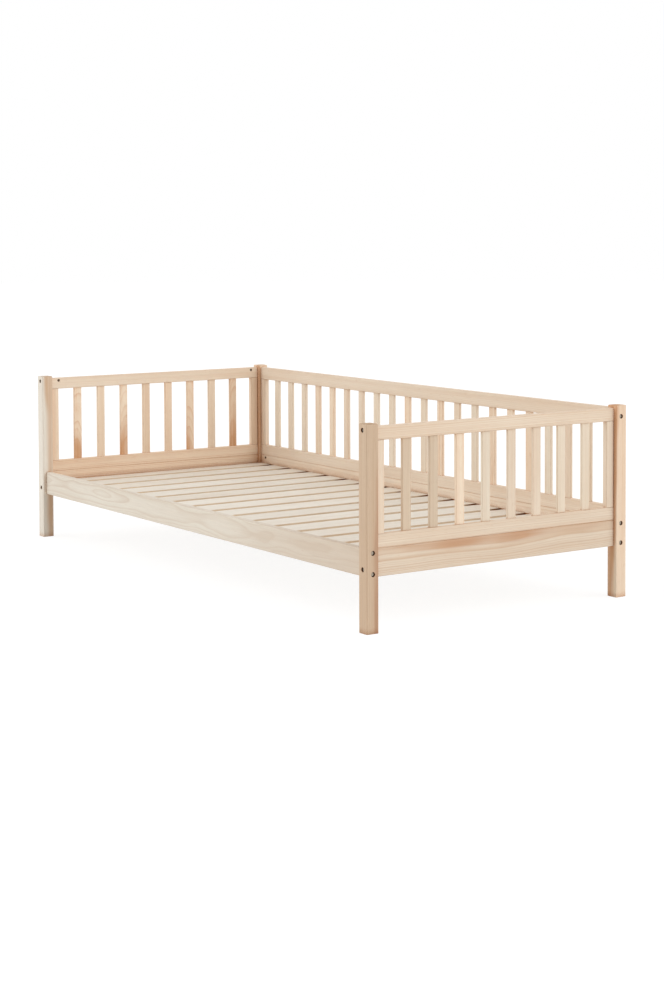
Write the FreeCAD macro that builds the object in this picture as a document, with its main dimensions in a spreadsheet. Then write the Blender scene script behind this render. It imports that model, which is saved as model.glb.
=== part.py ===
import FreeCAD, Part
import os
import Sketcher
from FreeCAD import Placement, Rotation, Vector

# A low single bed of solid pine, with a spindled guard at the head, at the foot and along the
# back, an open front, and slats across. All sizes are in millimetres.
# +X points to the foot end, -Y is the open front, +Z is up. The origin is on the floor, under
# the middle of the bed.

# ---------------------------------------------------------------- driving sizes
SIZES = {
    # the whole bed
    "bed_length": 2090,           # over the posts, head to foot
    "bed_width": 970,             # over the posts, front to back
    "guard_height": 580,          # top of the guards' top rails above the floor
    "line_inset": 21,             # middle of rails and boards behind the posts' outer faces
    # corner posts
    "post_size": 40,              # square section
    "post_rise": 8,               # top of the posts above the guards
    "post_arris": 3,              # radius of the four upright edges
    "post_top_bevel": 2,
    # boards under the guards, and the front board
    "board_clearance": 157,       # floor to the boards' lower edges
    "board_height": 80,
    "board_thickness": 18,
    # guards
    "guard_thickness": 18,        # rails and stiles
    "bottom_rail_height": 40,
    "end_rail_height": 40,        # top rails at head and foot
    "back_rail_height": 46,       # top rail along the back
    "rail_bevel": 1.5,            # long edges of rails, boards and stiles
    "stile_width": 29,
    "stile_tenon_width": 17,
    "stile_tenon_thickness": 8,
    "spindle_width": 30,
    "spindle_thickness": 9,
    "spindle_bevel": 1.2,
    "end_spindle_count": 8,
    "back_spindle_count": 20,
    "mortise_depth": 12,
    "tenon_play": 0.1,            # gap on each side of a tenon in its mortise
    "tenon_end_play": 0.2,        # gap at a tenon's end
    # slats and the ledges that carry them
    "slat_count": 16,
    "slat_width": 100,
    "head_slat_width": 69,        # the slat at the head is ripped to what is left
    "slat_thickness": 16,
    "slat_bevel": 1.2,
    "slat_drop": 32,              # top of the slats below the boards' upper edges
    "slat_end_gap": 2,            # slat end to board
    "head_slat_gap": 1,           # head posts to the first slat
    "foot_slat_gap": 18,          # last slat to the foot posts
    "ledge_width": 22,
    "ledge_height": 16,
    "ledge_bevel": 1.2,
    "ledge_end_gap": 1,           # ledge end to post
    # connector bolts and their barrel nuts
    "bolt_diameter": 6,
    "bolt_hole_play": 0.5,        # round the bolt in the wood
    "bolt_head_width": 10,        # across the hexagon's flats
    "bolt_head_height": 4,
    "bolt_tip_inside": 0.5,       # the bolt's end, inside the nut's far side
    "recess_diameter": 14,        # for the bolt's head, in the posts
    "recess_depth": 8,
    "nut_diameter": 10,
    "nut_length": 13,
    "nut_play": 0.1,              # round the nut in the wood
    "nut_thread_play": 0.05,      # round the bolt in the nut
    "nut_inset": 30,              # nut's axis from the end of its rail or board
    "end_bolt_drop": 9.5,         # head and foot top rails: bolt below the guard's top
    "back_bolt_drop": 26,         # back top rail: bolt below the guard's top
    "board_bolt_edge": 10,        # long boards: bolts from the lower and the upper edge
    "end_board_bolt_rise": 23,    # end boards: bolt above the lower edge
    # dowels between the boards and the guards
    "dowel_diameter": 8,
    "dowel_length": 30,
    "dowel_play": 0.05,           # round the dowel
    "dowel_end_play": 0.3,
    "dowel_margin": 145,          # outermost dowels from the boards' ends
    "end_dowel_count": 2,
    "back_dowel_count": 4,
}

doc = FreeCAD.newDocument("guarded_bed")
sheet = doc.addObject("Spreadsheet::Sheet", "Sizes")
for row, (alias, number) in enumerate(SIZES.items(), start=1):
    sheet.set(f"A{row}", alias)
    sheet.set(f"B{row}", str(number))
    sheet.setAlias(f"B{row}", alias)
doc.recompute()

# ---------------------------------------------------------------- sizes worked out from them
HALF_POST = "(Sizes.post_size / 2)"
POST_HEIGHT = "(Sizes.guard_height + Sizes.post_rise)"
POST_X = f"(Sizes.bed_length / 2 - {HALF_POST})"
POST_Y = f"(Sizes.bed_width / 2 - {HALF_POST})"
LINE_IN_POST = f"({HALF_POST} - Sizes.line_inset)"
END_LINE = "(Sizes.bed_length / 2 - Sizes.line_inset)"
LONG_LINE = "(Sizes.bed_width / 2 - Sizes.line_inset)"
END_SPAN = "(Sizes.bed_width - 2 * Sizes.post_size)"
LONG_SPAN = "(Sizes.bed_length - 2 * Sizes.post_size)"
INNER_Y = f"({LONG_LINE} - Sizes.board_thickness / 2)"
BOARD_TOP = "(Sizes.board_clearance + Sizes.board_height)"
OPENING_BOTTOM = f"({BOARD_TOP} + Sizes.bottom_rail_height)"
END_OPENING = f"(Sizes.guard_height - Sizes.end_rail_height - {OPENING_BOTTOM})"
BACK_OPENING = f"(Sizes.guard_height - Sizes.back_rail_height - {OPENING_BOTTOM})"
SLAT_TOP = f"({BOARD_TOP} - Sizes.slat_drop)"
SLAT_LENGTH = f"(2 * {INNER_Y} - 2 * Sizes.slat_end_gap)"
HEAD_SLAT_END = f"(Sizes.head_slat_gap + Sizes.head_slat_width - {LONG_SPAN} / 2)"
LAST_SLAT_END = f"({LONG_SPAN} / 2 - Sizes.foot_slat_gap)"
SLAT_PITCH = f"(({LAST_SLAT_END} - {HEAD_SLAT_END}) / (Sizes.slat_count - 1))"
LEDGE_TOP = f"({SLAT_TOP} - Sizes.slat_thickness)"
LEDGE_LENGTH = f"({LONG_SPAN} - 2 * Sizes.ledge_end_gap)"
LEDGE_Y = f"({INNER_Y} - Sizes.ledge_width / 2)"
BOLT_REACH = "(Sizes.nut_inset + Sizes.nut_diameter / 2 - Sizes.bolt_tip_inside)"
BOLT_LENGTH = f"(Sizes.post_size - Sizes.recess_depth + {BOLT_REACH})"
BOLT_BORE = "(Sizes.bolt_diameter / 2 + Sizes.bolt_hole_play)"
DOWEL_BORE = "(Sizes.dowel_diameter / 2 + Sizes.dowel_play)"

# heights of the bolts above the floor
END_BOLT_HEIGHTS = (
    "(Sizes.board_clearance + Sizes.end_board_bolt_rise)",
    "(Sizes.guard_height - Sizes.end_bolt_drop)",
)
FRONT_BOLT_HEIGHTS = (
    "(Sizes.board_clearance + Sizes.board_bolt_edge)",
    f"({BOARD_TOP} - Sizes.board_bolt_edge)",
)
BACK_BOLT_HEIGHTS = FRONT_BOLT_HEIGHTS + ("(Sizes.guard_height - Sizes.back_bolt_drop)",)

# what no eye reaches, shanks and dowels and their bores, has this many sides
HIDDEN_SIDES = 8

AXES = {"X": Vector(1, 0, 0), "Y": Vector(0, 1, 0), "Z": Vector(0, 0, 1)}

# a face of a piece: the origin plane it lies along, and whether that plane's normal points out
FACES = {
    "+X": ("YZ_Plane", True),
    "-X": ("YZ_Plane", False),
    "-Y": ("XZ_Plane", True),
    "+Y": ("XZ_Plane", False),
    "+Z": ("XY_Plane", True),
    "-Z": ("XY_Plane", False),
}


# ---------------------------------------------------------------- ways of working
def size(expression):
    """The value of an expression over the sheet, in millimetres."""
    return float(sheet.evalExpression(expression))


def count(alias):
    return int(size(f"Sizes.{alias}"))


def origin_part(body, role):
    return next(item for item in body.Origin.OriginFeatures if item.Role == role)


def sketch_on(body, name, face, distance, across="0", up="0"):
    """An empty sketch parallel to one face, at a distance from the piece's origin."""
    role, outward = FACES[face]
    sketch = body.newObject("Sketcher::SketchObject", f"{name}_sketch")
    sketch.AttachmentSupport = [(origin_part(body, role), "")]
    sketch.MapMode = "FlatFace"
    sketch.setExpression("AttachmentOffset.Base.x", across)
    sketch.setExpression("AttachmentOffset.Base.y", up)
    sketch.setExpression("AttachmentOffset.Base.z", distance if outward else f"-{distance}")
    return sketch


def name_constraint(sketch, constraint, name, expression):
    index = sketch.addConstraint(constraint)
    sketch.renameConstraint(index, name)
    sketch.setExpression(f"Constraints.{name}", expression)


def draw_rectangle(sketch, width, height):
    """A rectangle centred on the sketch's origin."""
    corners = [Vector(-1, -1, 0), Vector(1, -1, 0), Vector(1, 1, 0), Vector(-1, 1, 0)]
    for index, corner in enumerate(corners):
        sketch.addGeometry(Part.LineSegment(corner, corners[(index + 1) % 4]))
    for index in range(4):
        sketch.addConstraint(Sketcher.Constraint("Coincident", index, 2, (index + 1) % 4, 1))
    for bottom_or_top in (0, 2):
        sketch.addConstraint(Sketcher.Constraint("Horizontal", bottom_or_top))
    for left_or_right in (1, 3):
        sketch.addConstraint(Sketcher.Constraint("Vertical", left_or_right))
    sketch.addConstraint(Sketcher.Constraint("Symmetric", 0, 1, 1, 2, -1, 1))
    name_constraint(sketch, Sketcher.Constraint("DistanceX", 0, 1, 0, 2, 2), "width", width)
    name_constraint(sketch, Sketcher.Constraint("DistanceY", 1, 1, 1, 2, 2), "height", height)


def draw_circle(sketch, diameter):
    """A circle centred on the sketch's origin."""
    sketch.addGeometry(Part.Circle(Vector(0, 0, 0), AXES["Z"], 1))
    sketch.addConstraint(Sketcher.Constraint("Coincident", 0, 3, -1, 1))
    name_constraint(sketch, Sketcher.Constraint("Diameter", 0, 2), "diameter", diameter)


def pad(body, name, sketch, face, length):
    """Material grown out of a sketch, the way its face looks."""
    feature = body.newObject("PartDesign::Pad", name)
    feature.Profile = (sketch, [""])
    feature.Reversed = not FACES[face][1]
    feature.setExpression("Length", length)
    doc.recompute()
    return feature


def pocket(body, name, sketch, face, depth):
    """Material cut away from a sketch into the piece."""
    before = body.Tip.Shape.Volume
    feature = body.newObject("PartDesign::Pocket", name)
    feature.Profile = (sketch, [""])
    feature.Reversed = not FACES[face][1]
    feature.setExpression("Length", depth)
    doc.recompute()
    if not feature.Shape.Volume < before:
        raise ValueError(f"{body.Label}: {name} cuts nothing")
    return feature


def drill(body, name, face, distance, across, up, diameter, depth):
    """A round blind hole."""
    sketch = sketch_on(body, name, face, distance, across, up)
    draw_circle(sketch, diameter)
    return pocket(body, name, sketch, face, depth)


def bore(body, name, face, distance, across, up, radius, depth):
    """A narrow hidden bore, its corners on the circle of the given radius."""
    before = body.Tip.Shape.Volume
    role, outward = FACES[face]
    hole = body.newObject("PartDesign::SubtractivePrism", name)
    hole.AttachmentSupport = [(origin_part(body, role), "")]
    hole.MapMode = "FlatFace"
    hole.setExpression("AttachmentOffset.Base.x", across)
    hole.setExpression("AttachmentOffset.Base.y", up)
    start = f"{distance} - ({depth})" if outward else f"-{distance}"
    hole.setExpression("AttachmentOffset.Base.z", start)
    hole.Polygon = HIDDEN_SIDES
    hole.setExpression("Circumradius", radius)
    hole.setExpression("Height", depth)
    doc.recompute()
    if not hole.Shape.Volume < before:
        raise ValueError(f"{body.Label}: {name} cuts nothing")
    return hole


def repeat(body, name, feature, axis, length, occurrences):
    """Copies of one feature in a straight row, the last one `length` away from the first."""
    pattern = body.newObject("PartDesign::LinearPattern", name)
    pattern.Originals = [feature]
    pattern.Direction = (origin_part(body, f"{axis}_Axis"), [""])
    pattern.setExpression("Length", length)
    pattern.setExpression("Occurrences", occurrences)
    body.Tip = pattern
    doc.recompute()
    return pattern


def edges_along(feature, axis):
    """The names of a feature's straight edges along one axis."""
    return [
        f"Edge{number}"
        for number, edge in enumerate(feature.Shape.Edges, start=1)
        if isinstance(edge.Curve, Part.Line) and abs(edge.Curve.Direction.dot(AXES[axis])) > 0.999
    ]


def edges_at_height(feature, height):
    """The names of a feature's edges that lie flat at one height."""
    return [
        f"Edge{number}"
        for number, edge in enumerate(feature.Shape.Edges, start=1)
        if abs(edge.BoundBox.ZMin - height) < 0.001 and abs(edge.BoundBox.ZMax - height) < 0.001
    ]


def ease(body, name, kind, feature, edges, field, amount):
    """Rounded or bevelled edges: kind is Fillet or Chamfer, field its Radius or Size."""
    eased = body.newObject(f"PartDesign::{kind}", name)
    eased.Base = (feature, edges)
    eased.setExpression(field, amount)
    doc.recompute()
    return eased


pieces = []


def new_piece(name):
    body = doc.addObject("PartDesign::Body", name)
    body.AllowCompound = True
    pieces.append(body)
    return body


def place(piece, x, y, z, turn=0):
    """Stand a piece in the bed, turned about the upright by whole degrees."""
    piece.Placement = Placement(Vector(0, 0, 0), Rotation(AXES["Z"], turn))
    for axis, expression in (("x", x), ("y", y), ("z", z)):
        piece.setExpression(f"Placement.Base.{axis}", expression)


# ---------------------------------------------------------------- corner posts
def make_post(name, x_side, y_side, long_bolts):
    """A square post; x_side and y_side are -1 or 1, towards its outer faces."""
    outer_x = "+X" if x_side > 0 else "-X"
    outer_y = "+Y" if y_side > 0 else "-Y"

    body = new_piece(name)
    section = sketch_on(body, "section", "+Z", "0")
    draw_rectangle(section, "Sizes.post_size", "Sizes.post_size")
    blank = pad(body, "blank", section, "+Z", POST_HEIGHT)
    arris = ease(body, "arris", "Fillet", blank, edges_along(blank, "Z"),
                 "Radius", "Sizes.post_arris")
    ease(body, "crown", "Chamfer", arris, edges_at_height(arris, size(POST_HEIGHT)),
         "Size", "Sizes.post_top_bevel")

    for way, face, side, heights in (("end", outer_y, x_side, END_BOLT_HEIGHTS),
                                     ("long", outer_x, y_side, long_bolts)):
        for number, height in enumerate(heights, start=1):
            line = f"{side} * {LINE_IN_POST}"
            drill(body, f"{way}_recess_{number}", face, HALF_POST, line, height,
                  "Sizes.recess_diameter", "Sizes.recess_depth")
            bore(body, f"{way}_bolt_bore_{number}", face, HALF_POST, line, height,
                 BOLT_BORE, "Sizes.post_size")
    place(body, f"{x_side} * {POST_X}", f"{y_side} * {POST_Y}", "0")


for end, x_side in (("head", -1), ("foot", 1)):
    make_post(f"{end}_front_post", x_side, -1, FRONT_BOLT_HEIGHTS)
    make_post(f"{end}_back_post", x_side, 1, BACK_BOLT_HEIGHTS)


# ---------------------------------------------------------------- rails and boards
# Each is made lying along X with its inner face towards -Y, standing on Z = 0, and is then
# turned to its side of the bed.
INNER_FACE = "-Y"
OUTER_FACE = "+Y"
SIDES = {
    "head": {"turn": 90, "x": f"-{END_LINE}", "y": "0", "span": END_SPAN},
    "foot": {"turn": -90, "x": END_LINE, "y": "0", "span": END_SPAN},
    "back": {"turn": 0, "x": "0", "y": LONG_LINE, "span": LONG_SPAN},
    "front": {"turn": 180, "x": "0", "y": f"-{LONG_LINE}", "span": LONG_SPAN},
}


def make_rail(name, side, bottom, height, thickness):
    """A straight rail or board between two posts, its long edges bevelled."""
    span = SIDES[side]["span"]
    body = new_piece(name)
    section = sketch_on(body, "section", "+X", f"-{span} / 2", up=f"{height} / 2")
    draw_rectangle(section, thickness, height)
    blank = pad(body, "blank", section, "+X", span)
    ease(body, "bevel", "Chamfer", blank, edges_along(blank, "X"), "Size", "Sizes.rail_bevel")
    place(body, SIDES[side]["x"], SIDES[side]["y"], bottom, SIDES[side]["turn"])
    return body


def bolt_rail_ends(body, side, thickness, rises, nut_face):
    """At both ends: a bore for each bolt, and the barrel nut's hole from one face."""
    span = SIDES[side]["span"]
    for number, rise in enumerate(rises, start=1):
        for tag, end, sign in (("left", "-X", "-"), ("right", "+X", "")):
            bore(body, f"bolt_bore_{number}_{tag}", end, f"({span} / 2)", "0", rise,
                 BOLT_BORE, "Sizes.nut_inset")
            drill(body, f"nut_hole_{number}_{tag}", nut_face, f"({thickness} / 2)",
                  f"{sign}({span} / 2 - Sizes.nut_inset)", rise,
                  "(Sizes.nut_diameter + 2 * Sizes.nut_play)",
                  f"({thickness} + Sizes.nut_length) / 2")


DOWEL_COUNTS = {"head": "Sizes.end_dowel_count", "foot": "Sizes.end_dowel_count",
                "back": "Sizes.back_dowel_count"}


def dowel_reach(side):
    """The outermost dowels from the middle of a side."""
    return f"({SIDES[side]['span']} / 2 - Sizes.dowel_margin)"


def dowel_edge(body, side, face, distance, depth):
    """A row of upright dowel bores along an upper or lower edge."""
    first = bore(body, "dowel_bore", face, distance, f"-{dowel_reach(side)}", "0",
                 DOWEL_BORE, depth)
    repeat(body, "dowel_bores", first, "X", f"2 * {dowel_reach(side)}", DOWEL_COUNTS[side])


def make_board(side, bolt_rises):
    board = make_rail(f"{side}_board", side, "Sizes.board_clearance", "Sizes.board_height",
                      "Sizes.board_thickness")
    bolt_rail_ends(board, side, "Sizes.board_thickness", bolt_rises, INNER_FACE)
    if side in DOWEL_COUNTS:
        dowel_edge(board, side, "+Z", "Sizes.board_height", "Sizes.dowel_length / 2")


for end in ("head", "foot"):
    make_board(end, ("Sizes.end_board_bolt_rise",))
for side in ("back", "front"):
    make_board(side, ("Sizes.board_bolt_edge", "(Sizes.board_height - Sizes.board_bolt_edge)"))


# ---------------------------------------------------------------- spindled guards
GUARDS = {
    "head": {
        "rail_height": "Sizes.end_rail_height", "bolt_drop": "Sizes.end_bolt_drop",
        "nut_face": INNER_FACE, "opening": END_OPENING, "spindles": "Sizes.end_spindle_count",
    },
    "back": {
        "rail_height": "Sizes.back_rail_height", "bolt_drop": "Sizes.back_bolt_drop",
        "nut_face": OUTER_FACE, "opening": BACK_OPENING, "spindles": "Sizes.back_spindle_count",
    },
}
GUARDS["foot"] = GUARDS["head"]


def spindle_row(side):
    """The pitch of a guard's spindles, and the first one's middle from the guard's middle."""
    number = GUARDS[side]["spindles"]
    room = f"({SIDES[side]['span']} - 2 * Sizes.stile_width)"
    gap = f"(({room} - {number} * Sizes.spindle_width) / ({number} + 1))"
    pitch = f"({gap} + Sizes.spindle_width)"
    first = f"(-({number} - 1) * {pitch} / 2)"
    return pitch, first


def stile_offset(side):
    return f"({SIDES[side]['span']} / 2 - Sizes.stile_width / 2)"


def cut_mortises(rail, side, face, distance):
    """A mortise for each spindle and each stile tenon in one edge of a rail."""
    pitch, first = spindle_row(side)
    length = f"({GUARDS[side]['spindles']} - 1) * {pitch}"
    slot = sketch_on(rail, "spindle_mortise", face, distance, first)
    draw_rectangle(slot, "Sizes.spindle_width + 2 * Sizes.tenon_play",
                   "Sizes.spindle_thickness + 2 * Sizes.tenon_play")
    mortise = pocket(rail, "spindle_mortise", slot, face, "Sizes.mortise_depth")
    repeat(rail, "spindle_mortises", mortise, "X", length, GUARDS[side]["spindles"])
    for tag, sign in (("left", "-"), ("right", "")):
        slot = sketch_on(rail, f"stile_mortise_{tag}", face, distance,
                         f"{sign}{stile_offset(side)}")
        draw_rectangle(slot, "Sizes.stile_tenon_width + 2 * Sizes.tenon_play",
                       "Sizes.stile_tenon_thickness + 2 * Sizes.tenon_play")
        pocket(rail, f"stile_mortise_{tag}", slot, face, "Sizes.mortise_depth")


def make_guard_rails(side):
    guard = GUARDS[side]
    top_rail = make_rail(f"{side}_top_rail", side, f"Sizes.guard_height - {guard['rail_height']}",
                         guard["rail_height"], "Sizes.guard_thickness")
    cut_mortises(top_rail, side, "-Z", "0")
    bolt_rail_ends(top_rail, side, "Sizes.guard_thickness",
                   (f"({guard['rail_height']} - {guard['bolt_drop']})",), guard["nut_face"])

    bottom_rail = make_rail(f"{side}_bottom_rail", side, BOARD_TOP, "Sizes.bottom_rail_height",
                            "Sizes.guard_thickness")
    cut_mortises(bottom_rail, side, "+Z", "Sizes.bottom_rail_height")
    dowel_edge(bottom_rail, side, "-Z", "0", "(Sizes.dowel_length / 2 + Sizes.dowel_end_play)")


def make_stile(name, side, along):
    """An upright between the rails, beside a post, with a shouldered tenon at each end."""
    opening = GUARDS[side]["opening"]
    body = new_piece(name)
    section = sketch_on(body, "section", "+Z", "0")
    draw_rectangle(section, "Sizes.stile_width", "Sizes.guard_thickness")
    blank = pad(body, "blank", section, "+Z", opening)
    ease(body, "bevel", "Chamfer", blank, edges_along(blank, "Z"), "Size", "Sizes.rail_bevel")
    for tag, face, distance in (("lower", "-Z", "0"), ("upper", "+Z", opening)):
        root = sketch_on(body, f"{tag}_tenon", face, distance)
        draw_rectangle(root, "Sizes.stile_tenon_width", "Sizes.stile_tenon_thickness")
        pad(body, f"{tag}_tenon", root, face, "Sizes.mortise_depth - Sizes.tenon_end_play")
    stand_on_side(body, side, along, OPENING_BOTTOM)


def stand_on_side(body, side, along, height):
    """Place a piece on a side; along runs to the back of an end, or to the foot of the back."""
    x, y = SIDES[side]["x"], SIDES[side]["y"]
    if side == "back":
        x = along
    else:
        y = along
    place(body, x, y, height, SIDES[side]["turn"])


def make_spindle(name, side):
    """A flat spindle that stands on the floor of its lower mortise."""
    body = new_piece(name)
    section = sketch_on(body, "section", "+Z", "0")
    draw_rectangle(section, "Sizes.spindle_width", "Sizes.spindle_thickness")
    length = f"{GUARDS[side]['opening']} + 2 * Sizes.mortise_depth - Sizes.tenon_end_play"
    blank = pad(body, "blank", section, "+Z", length)
    ease(body, "bevel", "Chamfer", blank, edges_along(blank, "Z"), "Size", "Sizes.spindle_bevel")
    return body


SPINDLE_FOOT = f"{OPENING_BOTTOM} - Sizes.mortise_depth"

for side, stiles in (("head", ("front", "back")), ("foot", ("front", "back")),
                     ("back", ("head", "foot"))):
    make_guard_rails(side)
    make_stile(f"{side}_{stiles[0]}_stile", side, f"-{stile_offset(side)}")
    make_stile(f"{side}_{stiles[1]}_stile", side, stile_offset(side))

for end in ("head", "foot"):
    pitch, first = spindle_row(end)
    for index in range(count("end_spindle_count")):
        spindle = make_spindle(f"{end}_spindle_{index + 1}", end)
        stand_on_side(spindle, end, f"{first} + {index} * {pitch}", SPINDLE_FOOT)

back_spindles = make_spindle("back_spindles", "back")
pitch, first = spindle_row("back")
row = back_spindles.newObject("PartDesign::LinearPattern", "spindle_row")
row.TransformMode = "Whole shape"
row.Direction = (origin_part(back_spindles, "X_Axis"), [""])
row.setExpression("Length", f"(Sizes.back_spindle_count - 1) * {pitch}")
row.setExpression("Occurrences", "Sizes.back_spindle_count")
back_spindles.Tip = row
stand_on_side(back_spindles, "back", first, SPINDLE_FOOT)


# ---------------------------------------------------------------- slats and their ledges
HEAD_SLAT_X = f"({HEAD_SLAT_END} - Sizes.head_slat_width / 2)"
SECOND_SLAT_X = f"({HEAD_SLAT_END} + {SLAT_PITCH} - Sizes.slat_width / 2)"


def slat_x(index):
    """The middle of a slat, counted from 0 at the head."""
    return HEAD_SLAT_X if index == 0 else f"({SECOND_SLAT_X} + {index - 1} * {SLAT_PITCH})"


def make_slat(name, width, x):
    """A flat slat that lies on both ledges."""
    body = new_piece(name)
    section = sketch_on(body, "section", "-Y", f"-{SLAT_LENGTH} / 2", up="Sizes.slat_thickness / 2")
    draw_rectangle(section, width, "Sizes.slat_thickness")
    blank = pad(body, "blank", section, "-Y", SLAT_LENGTH)
    ease(body, "bevel", "Chamfer", blank, edges_along(blank, "Y"), "Size", "Sizes.slat_bevel")
    place(body, x, "0", LEDGE_TOP)


def make_ledge(name, y_side):
    """A batten along a long board's inner face, under the slats' ends."""
    body = new_piece(name)
    section = sketch_on(body, "section", "+X", f"-{LEDGE_LENGTH} / 2", up="Sizes.ledge_height / 2")
    draw_rectangle(section, "Sizes.ledge_width", "Sizes.ledge_height")
    blank = pad(body, "blank", section, "+X", LEDGE_LENGTH)
    ease(body, "bevel", "Chamfer", blank, edges_along(blank, "X"), "Size", "Sizes.ledge_bevel")
    place(body, "0", f"{y_side} * {LEDGE_Y}", f"{LEDGE_TOP} - Sizes.ledge_height")


for index in range(count("slat_count")):
    width = "Sizes.head_slat_width" if index == 0 else "Sizes.slat_width"
    make_slat(f"slat_{index + 1:02d}", width, slat_x(index))
make_ledge("front_ledge", -1)
make_ledge("back_ledge", 1)


# ---------------------------------------------------------------- bolts, nuts and dowels
def prism(name, sides, radius, height, z="0", turn=Rotation()):
    """A prism standing at z, its corners on the circle of the given radius."""
    item = doc.addObject("Part::Prism", name)
    item.Polygon = sides
    item.Placement = Placement(Vector(0, 0, 0), turn)
    item.setExpression("Placement.Base.z", z)
    item.setExpression("Circumradius", radius)
    item.setExpression("Height", height)
    return item


def make_bolt():
    """A hexagon-head bolt; its head stands on Z = 0 and its shank runs down."""
    bolt = doc.addObject("Part::Fuse", "single_bolt")
    bolt.Base = prism("bolt_head", 6, "Sizes.bolt_head_width / sqrt(3)", "Sizes.bolt_head_height")
    bolt.Tool = prism("bolt_shank", HIDDEN_SIDES, "Sizes.bolt_diameter / 2", BOLT_LENGTH,
                      f"-{BOLT_LENGTH}")
    return bolt


def make_nut():
    """A barrel nut, upright and centred on the origin, with the bolt's hole along X."""
    nut = doc.addObject("Part::Cut", "single_nut")
    nut.Base = prism("nut_barrel", HIDDEN_SIDES, "Sizes.nut_diameter / 2", "Sizes.nut_length",
                     "-Sizes.nut_length / 2")
    nut.Tool = prism("nut_thread", HIDDEN_SIDES, "Sizes.bolt_diameter / 2 + Sizes.nut_thread_play",
                     "2 * Sizes.nut_diameter", turn=Rotation(AXES["Y"], 90))
    nut.Tool.setExpression("Placement.Base.x", "-Sizes.nut_diameter")
    return nut


def make_dowel():
    return prism("single_dowel", HIDDEN_SIDES, "Sizes.dowel_diameter / 2", "Sizes.dowel_length",
                 "-Sizes.dowel_length / 2")


def fastener_set(name, single, places):
    """One named piece that holds all the identical fasteners as separate solids."""
    doc.recompute()
    item = doc.addObject("Part::Feature", name)
    item.Shape = Part.makeCompound([single.Shape.transformed(spot.toMatrix()) for spot in places])
    pieces.append(item)


def bolt_and_nut_places():
    """Where the bolts' heads seat in the posts, and the nuts' middles in rails and boards."""
    bolts, nuts = [], []
    for x_side in (-1, 1):
        for y_side in (-1, 1):
            x_out, y_out = Vector(x_side, 0, 0), Vector(0, y_side, 0)
            long_bolts = BACK_BOLT_HEIGHTS if y_side > 0 else FRONT_BOLT_HEIGHTS
            ways = (
                (END_BOLT_HEIGHTS, x_out * size(END_LINE), y_out, -x_out,
                 "Sizes.bed_width", END_SPAN),
                (long_bolts, y_out * size(LONG_LINE), x_out, -y_out,
                 "Sizes.bed_length", LONG_SPAN),
            )
            for heights, line, outward, inward, overall, span in ways:
                seat = outward * size(f"{overall} / 2 - Sizes.recess_depth")
                nut = outward * size(f"{span} / 2 - Sizes.nut_inset")
                facing = Rotation(outward, Vector(), inward, "ZXY")
                for height in map(size, heights):
                    up = AXES["Z"] * height
                    bolts.append(Placement(line + seat + up, Rotation(AXES["Z"], outward)))
                    nuts.append(Placement(line + nut + up, facing))
    return bolts, nuts


def dowel_places():
    """Where the dowels stand, half in a board and half in the bottom rail above it."""
    places = []
    for side, number in DOWEL_COUNTS.items():
        reach, last = size(dowel_reach(side)), int(size(number)) - 1
        x, y = size(SIDES[side]["x"]), size(SIDES[side]["y"])
        along = AXES["X"] if side == "back" else AXES["Y"]
        for index in range(last + 1):
            middle = Vector(x, y, size(BOARD_TOP)) + along * (2 * reach * index / last - reach)
            places.append(Placement(middle, Rotation()))
    return places


bolt_places, nut_places = bolt_and_nut_places()
fastener_set("connector_bolts", make_bolt(), bolt_places)
fastener_set("barrel_nuts", make_nut(), nut_places)
fastener_set("dowels", make_dowel(), dowel_places())

# ---------------------------------------------------------------- checks and files
doc.recompute()
for item in doc.Objects:
    if "Invalid" in item.State or "Error" in item.State:
        raise ValueError(f"{item.Name} failed: {item.State}")
for piece in pieces:
    if piece.Shape.isNull() or not piece.Shape.isValid():
        raise ValueError(f"{piece.Label} has no valid shape")

os.makedirs("parts", exist_ok=True)
for piece in pieces:
    piece.Shape.exportStep(f"parts/{piece.Label}.step")
print(f"{len(pieces)} pieces, {sum(len(piece.Shape.Solids) for piece in pieces)} solids")
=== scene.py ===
# %% [markdown]
# # A low single bed with spindled guards, in natural pine
#
# The real thing is a flat-pack bed: four square posts, a low board along the open front, and a guard
# of flat spindles at the head, the foot and the back. All of it is clear pine with no stain on it.
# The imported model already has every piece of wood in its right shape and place, so this lesson loads
# it as a fixed frame and spends its time on what the eye reads as wood: growth rings, long streaks,
# heartwood, eased edges and end grain. Small hardware is built anew, because a round bolt head is
# finer than the frame can afford.

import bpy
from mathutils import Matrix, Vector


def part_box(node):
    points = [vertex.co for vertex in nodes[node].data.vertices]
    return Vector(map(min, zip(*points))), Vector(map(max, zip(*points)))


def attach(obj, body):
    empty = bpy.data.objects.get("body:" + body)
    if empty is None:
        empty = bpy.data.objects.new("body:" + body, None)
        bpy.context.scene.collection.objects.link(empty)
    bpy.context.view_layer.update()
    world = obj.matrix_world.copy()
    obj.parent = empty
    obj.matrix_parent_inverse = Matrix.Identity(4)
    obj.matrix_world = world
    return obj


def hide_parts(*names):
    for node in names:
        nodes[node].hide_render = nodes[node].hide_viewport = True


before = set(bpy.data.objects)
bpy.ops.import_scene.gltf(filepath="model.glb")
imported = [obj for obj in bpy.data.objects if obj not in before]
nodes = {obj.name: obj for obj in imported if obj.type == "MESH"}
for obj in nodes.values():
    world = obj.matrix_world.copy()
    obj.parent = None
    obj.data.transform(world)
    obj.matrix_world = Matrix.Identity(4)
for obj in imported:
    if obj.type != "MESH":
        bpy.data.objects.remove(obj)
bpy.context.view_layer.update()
print("nodes in the frame:", len(nodes))

# %% [markdown]
# ## The rest of the toolbox
#
# Colours are written as they would be picked from a paint card, from 0 to 255, and turned into the
# linear light that shaders work in. Keeping that step in one helper means that a colour in this file
# can be held next to a sample of wood.

# %% Modules, colour helper and view settings
import math
import random

import bmesh
import bpy
from mathutils import Matrix, Vector

MM = 0.001


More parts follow.
